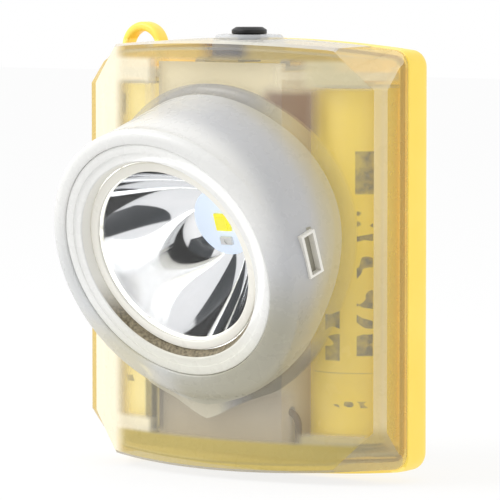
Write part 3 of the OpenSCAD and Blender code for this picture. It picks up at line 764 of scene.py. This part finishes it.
def front_shell():
    """The frosted front: hood, face and sides in one walled skin, with its pocket and button hole."""
    right = [shell_column(a, b) for a, b in edge_columns()]
    left = [[Vector((-p.x, p.y, p.z)) for p in column] for column in reversed(right[1:-1])]
    columns = right + left
    n, m = len(columns), len(columns[0])
    verts = [flare(p) for column in columns for p in column]
    faces, kinds = [], []
    for i in range(n):
        j = (i + 1) % n
        for k in range(m - 1):
            faces.append((i * m + k, i * m + k + 1, j * m + k + 1, j * m + k))
            kinds.append(shell_look(k, abs(columns[i][-1].x) < EDGE_X + 0.2))
    obj = new_piece("front_shell_skin", verts, faces, FACE_VEIL, sharp=SHELL_SHARP,
                    stands_for=("front_shell",))
    for mat in (HOOD_VEIL, SIDE_VEIL, FOOT_SHADE_VEIL, BEVEL_VEIL, TOP_VEIL):
        obj.data.materials.append(mat)
    for poly, kind in zip(obj.data.polygons, kinds):
        poly.material_index = kind
    wall = obj.modifiers.new("wall", "SOLIDIFY")
    wall.thickness = WALL * MM
    wall.offset = -1
    wall.use_even_offset = False
    apply_modifiers(obj)
    at = pocket_matrix()
    wide, tall = POCKET_HALF
    verts, faces = block(Vector((0, 0, 0)), (2.0, 2 * wide, 2 * tall))
    boolean(obj, tool_object([at @ v for v in verts], faces), "DIFFERENCE")
    cut_rod(obj, (0, BUTTON_Y, BOSS_Z + 5), (0, 0, 1), LANDING_R, 10, 96)
    cut_rod(obj, (0, BUTTON_Y, BOSS_Z - 3), (0, 0, 1), BORE_R, 10, 96)
    clean(obj, SHELL_SHARP)
    obj.data.materials.append(POCKET_FLOOR)
    obj.data.materials.append(INSIDE_VEIL)
    inverse = at.inverted()
    for poly in obj.data.polygons:
        p = inverse @ (poly.center / MM)
        if abs(p.y) < wide + 0.05 and abs(p.z) < tall + 0.05 and -1.1 < p.x < 0.2:
            poly.material_index = POCKET_BASE
        elif poly.material_index in (SIDE, BEVEL, TOP):
            out = Vector((poly.center.x, 0, poly.center.z)).normalized()
            if poly.normal.dot(out) < -0.3:
                poly.material_index = INSIDE


front_shell()


def pocket_frame():
    """Thin raised edge round the pocket in the hood's side.

    Its points are an outer and an inner loop of four at the foot, then the same two at the edge.
    """
    at = pocket_matrix()
    verts, faces = [], []
    for depth in (-0.95, POCKET_EDGE):
        for wide, tall in (POCKET_HALF, (3.85, 1.25)):
            verts += [at @ Vector((depth, y * wide, z * tall)) for y, z in SQUARE]
    for i in range(4):
        j = (i + 1) % 4
        faces.append((i, j, 8 + j, 8 + i))
        faces.append((4 + j, 4 + i, 12 + i, 12 + j))
        faces.append((i, 4 + i, 4 + j, j))
        faces.append((8 + j, 12 + j, 12 + i, 8 + i))
    new_piece("pocket_edge_skin", verts, faces, POCKET_WHITE)


pocket_frame()


# ---------------------------------------------------------------- rear cover
# Share of the outline's points on each side and corner, clockwise from the top left
OUTLINE_SHARES = (("top", 0.2), ("ne", 0.05), ("east", 0.2), ("se", 0.05),
                  ("bottom", 0.2), ("sw", 0.05), ("west", 0.2), ("nw", 0.05))


def outline_point(t, inset):
    """A point on the cover's outline, t from 0 to 1 round it, drawn in by an inset."""
    hw, zz, rc = HALF_W - inset, COVER_HH - inset, max(CORNER_R - inset * 0.3, 1.5)
    cx = hw - rc
    cz = math.sqrt((BOW_R - rc) ** 2 - cx * cx) - (BOW_R - zz)
    reach = math.asin(cx / (BOW_R - rc))
    at = t % 1.0
    for name, share in OUTLINE_SHARES:
        if at <= share:
            break
        at -= share
    u = at / share
    if name == "top":
        a = -reach + 2 * reach * u
        return Vector((BOW_R * math.sin(a), 0, BOW_R * math.cos(a) - (BOW_R - zz)))
    if name == "bottom":
        a = reach - 2 * reach * u
        return Vector((BOW_R * math.sin(a), 0, -BOW_R * math.cos(a) + (BOW_R - zz)))
    if name == "east":
        return Vector((hw, 0, cz - 2 * cz * u))
    if name == "west":
        return Vector((-hw, 0, -cz + 2 * cz * u))
    spans = {"ne": (cx, cz, math.pi / 2 - reach, 0),
             "se": (cx, -cz, 0, -(math.pi / 2 - reach)),
             "sw": (-cx, -cz, -(math.pi / 2 + reach), -math.pi),
             "nw": (-cx, cz, math.pi, math.pi / 2 + reach)}
    px, pz, a0, a1 = spans[name]
    a = a0 + (a1 - a0) * u
    return Vector((px + rc * math.cos(a), 0, pz + rc * math.sin(a)))


def rounded(points, reach, steps):
    """A polyline with its inner corners rounded by curves that start a reach away."""
    out = [points[0]]
    for before, here, after in zip(points, points[1:], points[2:]):
        a, b, c = Vector(before), Vector(here), Vector(after)
        start = b + (a - b).normalized() * min(reach, (a - b).length * 0.45)
        end = b + (c - b).normalized() * min(reach, (c - b).length * 0.45)
        for k in range(steps + 1):
            t = k / steps
            out.append(tuple(start.lerp(b, t).lerp(b.lerp(end, t), t)))
    out.append(points[-1])
    return out


def cover_rings():
    """(inset, y) pairs from the split round the cover's back edge."""
    rings = [(0.35, SPLIT_Y), (0.0, SPLIT_Y + 0.35), (0.0, SPLIT_Y + 2.5)]
    back = [(0.0, -14.2), (0.15, -10.2), (5.1, COVER_BACK_Y - 0.45), (7.4, COVER_BACK_Y)]
    return rings + rounded(back, 1.6, 7)


def ring_skin(rings):
    """Points and faces of a closed skin through (inset, y) rings, its top a step below the shell's."""
    count = COVER_STEPS
    verts, faces = [], []
    for inset, y in rings:
        for i in range(count):
            p = outline_point(i / count, inset)
            verts.append(flare(Vector((p.x, y, p.z - TOP_STEP * min(max((p.z - 30) / 8, 0), 1)))))
    for k in range(len(rings) - 1):
        for i in range(count):
            j = (i + 1) % count
            faces.append((k * count + i, k * count + j, (k + 1) * count + j, (k + 1) * count + i))
    faces.append(tuple(range((len(rings) - 1) * count, len(rings) * count)))
    faces.append(tuple(reversed(range(count))))
    return verts, faces


def lug():
    """Arch-shaped lanyard lug with an eye, extruded along Y with rounded edges."""
    r_out, r_in, root, sunk = 5.13, 3.6, -3.0, -0.3
    y0, y1, rad = SPLIT_Y + 0.6, SPLIT_Y + 3.8, 0.7
    angles = [math.pi - math.pi * k / ARCH_STEPS for k in range(ARCH_STEPS + 1)]
    outline = [(r_out * math.cos(a), r_out * math.sin(a)) for a in angles]
    outline = [(-r_out, root)] + outline + [(r_out, root)]
    inner = [(r_in * math.cos(a), sunk + r_in * math.sin(a)) for a in angles]
    inner = [(-r_in, root)] + inner + [(r_in, root)]
    n = len(outline)
    loops = []
    for k in range(4):
        a = math.pi / 2 * k / 3
        loops.append((rad * (1 - math.sin(a)), y0 + rad * (1 - math.cos(a))))
    for k in range(4):
        a = math.pi / 2 * k / 3
        loops.append((rad * (1 - math.cos(a)), y1 - rad * (1 - math.sin(a))))
    sections = []
    for inset, y in loops:
        mid = [((o[0] + i[0]) / 2, (o[1] + i[1]) / 2) for o, i in zip(outline, inner)]
        out_ring = [pull(o, m, inset) for o, m in zip(outline, mid)]
        in_ring = [pull(i, m, inset) for i, m in zip(inner, mid)]
        sections.append([Vector((LUG_X + p[0], y, LUG_Z + p[1])) for p in out_ring + in_ring[::-1]])
    count = 2 * n
    verts = [p for s in sections for p in s]
    faces = []
    for k in range(len(sections) - 1):
        for i in range(count):
            j = (i + 1) % count
            faces.append((k * count + i, k * count + j, (k + 1) * count + j, (k + 1) * count + i))
    for base in (0, (len(sections) - 1) * count):
        for i in range(n - 1):
            faces.append((base + i, base + i + 1, base + count - 2 - i, base + count - 1 - i))
    return verts, faces


def pull(point, towards, amount):
    """A point of a plane moved towards another by an amount."""
    d = Vector(towards) - Vector(point)
    return tuple(Vector(point) + d.normalized() * min(amount, d.length * 0.9))


def rear_cover():
    """The yellow back: a hollow cover with its lanyard lug, button recess and screw holes."""
    outer = cover_rings()
    verts, faces = ring_skin(outer)
    obj = new_piece("rear_cover_skin", verts, faces, COVER_YELLOW, sharp=COVER_SHARP,
                    stands_for=("rear_cover",))
    inner = []
    for inset, y in outer:
        thicker = 0 if y < SPLIT_Y + 4 else 1.5 * (y - SPLIT_Y - 4) / 7.2
        inner.append((inset + COVER_WALL, y - thicker))
    inner[0] = (COVER_WALL, SPLIT_Y - 1)
    boolean(obj, tool_object(*ring_skin(inner)), "DIFFERENCE")
    notch = Vector((LUG_X, SPLIT_Y + 3.25, LUG_Z + 3.5))
    boolean(obj, tool_object(*block(notch, (7.2, 8.5, 10.0))), "DIFFERENCE")
    boolean(obj, tool_object(*lug()), "UNION")
    cut_rod(obj, (0, BUTTON_Y, 41), (0, 0, 1), LANDING_R + 0.4, 14, 96)
    for sx in (-1, 1):
        for sz in (-1, 1):
            cut_rod(obj, (sx * SCREW_X, COVER_BACK_Y, sz * SCREW_Z), (0, 1, 0), SCREW_HOLE_R, 5.6, 48)
    clean(obj, COVER_SHARP)
    obj.data.materials.append(COVER_INSIDE)
    for poly in obj.data.polygons:
        p = poly.center / MM
        within = abs(p.x) < HALF_W - 1.0 and abs(p.z) < COVER_HH - 1.0
        if within and SPLIT_Y - 0.5 < p.y < COVER_BACK_Y - 1.0:
            if poly.normal.y < -0.5 or (poly.normal.x * p.x + poly.normal.z * p.z) < 0:
                poly.material_index = 1


rear_cover()


# ---------------------------------------------------------------- lamp
def lamp_place(poly):
    """A face's distance from the lamp's axis and its height along it, in millimetres."""
    p = lamp_matrix().inverted() @ (poly.center / MM)
    return math.hypot(p.x, p.y), p.z


def bezel():
    """Rim ring round the lens, with a grained bore."""
    seat = -2.2
    profile = [(BEZEL_R - 0.05, seat), (BEZEL_R - 0.05, RIM_W - 0.5)]
    profile += arc(BEZEL_R - 0.35, RIM_W - 0.5, 0.3, 0, 90, 3)
    profile += arc(BEZEL_R - 1.75, RIM_W - 0.35, 0.15, 90, 180, 2)
    profile += [(BEZEL_R - 2.1, RIM_W - 0.45), (BEZEL_IN_R + 0.5, RIM_W - 0.4)]
    profile += arc(BEZEL_IN_R + 0.4, RIM_W - 0.7, 0.3, 90, 180, 3)
    profile += [(LENS_R + 0.15, 0.45), (LENS_R + 0.12, -0.02), (LENS_R + 0.1, seat)]
    verts, faces = lathe(profile, lamp_matrix(), 160)
    obj = new_piece("bezel_ring_skin", verts, faces, RIM_VEIL, sharp=40, stands_for=("bezel_ring",))
    obj.data.materials.append(GRAIN_WALL)
    obj.data.materials.append(SEAT_GLOW)
    for poly in obj.data.polygons:
        radius, height = lamp_place(poly)
        if radius < BEZEL_IN_R + 0.2:
            if height < 0.1:
                poly.material_index = 2
            elif height < RIM_W - 0.65:
                poly.material_index = 1


def lip():
    """Raised cream ring on the lens's edge."""
    profile = arc(LIP_R + 0.3, 0.25, 0.3, 180, 90, 4) + arc(LENS_R - 0.3, 0.2, 0.3, 90, 0, 4)
    profile = [(LIP_R, 0.0)] + profile + [(LENS_R, 0.0)]
    verts, faces = lathe(profile, lamp_matrix(), 160)
    obj = new_piece("lens_lip_skin", verts, faces, LIP_CREAM, sharp=50, stands_for=("lens_lip",))
    obj.data.materials.append(SEAT_GLOW)
    for poly in obj.data.polygons:
        if lamp_place(poly)[1] < 0.02:
            poly.material_index = 1


def mirror():
    """Parabolic reflector with its flange behind the lens."""
    vertex = -MIRROR_DEPTH - BOARD_SEEN_R ** 2 / (4 * FOCUS)
    steps = 48
    inside = []
    for i in range(steps + 1):
        w = -MIRROR_DEPTH + (MIRROR_DEPTH - LENS_T) * i / steps
        inside.append((math.sqrt(4 * FOCUS * (w - vertex)), w))
    outside = [(r + 0.8, w) for r, w in reversed(inside[:-1])]
    r_top = inside[-1][0]
    flange = [(LENS_R, -LENS_T), (LENS_R, -LENS_T - 0.8), (r_top + 0.8, -LENS_T - 0.8)]
    verts, faces = lathe(inside + flange + outside, lamp_matrix(), 192)
    obj = new_piece("reflector_skin", verts, faces, CHROME, sharp=40, stands_for=("reflector",))
    obj.data.materials.append(LIP_CREAM)
    for poly in obj.data.polygons:
        if lamp_place(poly)[0] > r_top + 0.1:
            poly.material_index = 1


bezel()
lip()
mirror()


# ---------------------------------------------------------------- button
def button():
    """Rubber button cap, the boss that it lands in and the clear ring round it."""
    z0 = BOSS_Z + 1.2
    at = Matrix.Translation((0, BUTTON_Y, 0))
    cap = [(0.001, z0), (2.2, z0), (2.2, z0 + 0.02), (3.1, z0)]
    cap += arc(3.25, z0 + 0.25, 0.2, -90, 0, 3) + [(3.45, z0 + 0.6)]
    cap += arc(3.25, z0 + 0.75, 0.2, 0, 50, 3) + arc(2.55, z0 + 1.2, 0.2, 50, 90, 3)
    cap += [(0.001, z0 + 1.4)]
    verts, faces = lathe(cap, at, 96)
    obj = new_piece("button_cap_skin", verts, faces, BLACK_RUBBER, "button", 50, ("button_cap",))
    bore_r, boss_r, foot_z = BORE_R + 0.05, LANDING_R + 0.25, BOSS_Z - 3.6
    boss = [(bore_r, foot_z), (boss_r, foot_z), (boss_r, BOSS_Z - 0.25)]
    boss += arc(LANDING_R, BOSS_Z - 0.25, 0.2, 0, 90, 3) + [(bore_r, BOSS_Z - 0.05)]
    verts, faces = lathe(boss, at, 128)
    new_piece("button_boss_skin", verts, faces, TOP_VEIL, "housing", 40)
    ring = [(3.8, BOSS_Z), (6.75, BOSS_Z), (6.75, BOSS_Z + 0.3)]
    ring += arc(5.9, BOSS_Z + 0.35, 0.85, 0, 90, 6) + arc(4.1, BOSS_Z + 0.9, 0.3, 90, 180, 3)
    verts, faces = lathe(ring, at, 128)
    obj = new_piece("button_guard_skin", verts, faces, GUARD_CLEAR, "housing", 40, ("button_guard",))


button()

# ---------------------------------------------------------------- CAD nodes that stay
KEPT = {
    "cover_gasket": AMBER_SEAL, "cover_screws": SCREW, "helmet_clip": STEEL, "clip_rivets": SCREW,
    "lens_window": LENS, "light_board": WHITE_BOARD, "main_led": PHOSPHOR, "pilot_led": LED_WHITE,
    "heat_sink": ALUMINIUM, "inner_frame": CREAM, "left_cell": CELL_LEFT, "right_cell": CELL_RIGHT,
    "cell_insulators": PAPER, "cell_springs": SCREW, "cell_contacts": BRASS, "cell_links": SCREW,
    "control_board": GREEN, "board_parts": CHIP, "switch_board": GREEN, "switch_body": CHIP,
    "switch_plunger": LED_WHITE, "button_stem": BLACK_RUBBER, "stem_seal": SEAL, "charge_studs": BRASS,
    "light_wires": WIRE_RED, "battery_wires": WIRE_BROWN,
}
for name, mat in KEPT.items():
    NODES[name].data.materials.clear()
    NODES[name].data.materials.append(mat)

# ---------------------------------------------------------------- stage, light and camera
floor_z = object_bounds()[0].z - FLOOR_GAP
floor_mesh = bpy.data.meshes.new("floor")
floor_corners = [(FLOOR_HALF * x, FLOOR_HALF * y, floor_z) for x, y in SQUARE]
floor_mesh.from_pydata(floor_corners, [], [(0, 1, 2, 3)])
floor = bpy.data.objects.new("floor", floor_mesh)
bpy.context.scene.collection.objects.link(floor)


def pale_floor():
    """White floor that partly lights itself."""
    mat, tree, out = material("pale_floor")
    diffuse = node(tree, "BsdfDiffuse", Color=(0.9, 0.9, 0.9, 1))
    glow = node(tree, "Emission", Color=(1, 1, 1, 1), Strength=1.0)
    mix = node(tree, "MixShader", Fac=0.8)
    tree.links.new(diffuse.outputs["BSDF"], mix.inputs[1])
    tree.links.new(glow.outputs["Emission"], mix.inputs[2])
    tree.links.new(mix.outputs["Shader"], out.inputs["Surface"])
    return mat


floor.data.materials.append(pale_floor())


def studio():
    """White tent with a darker table below and a dark opening in front; white behind the lamp."""
    world = bpy.data.worlds.new("studio")
    world.use_nodes = True
    tree = world.node_tree
    back = tree.nodes["Background"]
    coord = node(tree, "TexCoord")
    axes = node(tree, "SeparateXYZ")
    tree.links.new(coord.outputs["Generated"], axes.inputs["Vector"])
    ahead = math_node(tree, "MULTIPLY", axes.outputs["Y"], -1.0)
    side = math_node(tree, "ARCTAN2", axes.outputs["X"], ahead)
    lift = math_node(tree, "ARCSINE", axes.outputs["Z"])
    opening = soft_step(tree, side, math.radians(1), math.radians(4))
    for angle, outside, inside in ((side, 46, 43), (lift, -7, -4), (lift, 34, 31)):
        edge = soft_step(tree, angle, math.radians(outside), math.radians(inside))
        opening = math_node(tree, "MULTIPLY", opening, edge)
    table = soft_step(tree, lift, math.radians(-12), math.radians(-22))
    tent = ramp(tree, table, [(0.0, (1.0, 1.0, 1.0)), (1.0, (0.78, 0.79, 0.80))])
    seen = blend(tree, opening, tent, (0.035, 0.04, 0.045))
    path = node(tree, "LightPath")
    tree.links.new(blend(tree, path.outputs["Is Camera Ray"], seen, (1, 1, 1)), back.inputs["Color"])
    bpy.context.scene.world = world


studio()


def softbox(name, place, target, size, power):
    """Square area light at a place, facing a target."""
    light = bpy.data.lights.new(name, "AREA")
    light.shape = "RECTANGLE"
    light.size, light.size_y = size, size
    light.energy = power
    obj = bpy.data.objects.new(name, light)
    obj.location = place
    obj.rotation_euler = (Vector(target) - Vector(place)).to_track_quat("-Z", "Y").to_euler()
    bpy.context.scene.collection.objects.link(obj)


softbox("key", (-0.35, -0.45, 0.45), (0, -0.02, 0), 0.35, 2.5)

AZIMUTH, ELEVATION = math.radians(37.7), math.radians(4.1)
DISTANCE, LENS_MM, SENSOR_MM = 0.85, 312.1, 36.0
TARGET = Vector((0.0001, -0.0193, 0.0004))
camera_data = bpy.data.cameras.new("camera")
camera_data.lens = LENS_MM
camera_data.sensor_width = SENSOR_MM
camera_data.clip_start, camera_data.clip_end = 0.01, 20.0
camera = bpy.data.objects.new("camera", camera_data)
bpy.context.scene.collection.objects.link(camera)
level = math.cos(ELEVATION)
outward = Vector((math.sin(AZIMUTH) * level, -math.cos(AZIMUTH) * level, math.sin(ELEVATION)))
camera.location = TARGET + outward * DISTANCE
camera.rotation_euler = (-outward).to_track_quat("-Z", "Y").to_euler()
bpy.context.scene.camera = camera
bpy.context.scene.view_settings.view_transform = "Standard"
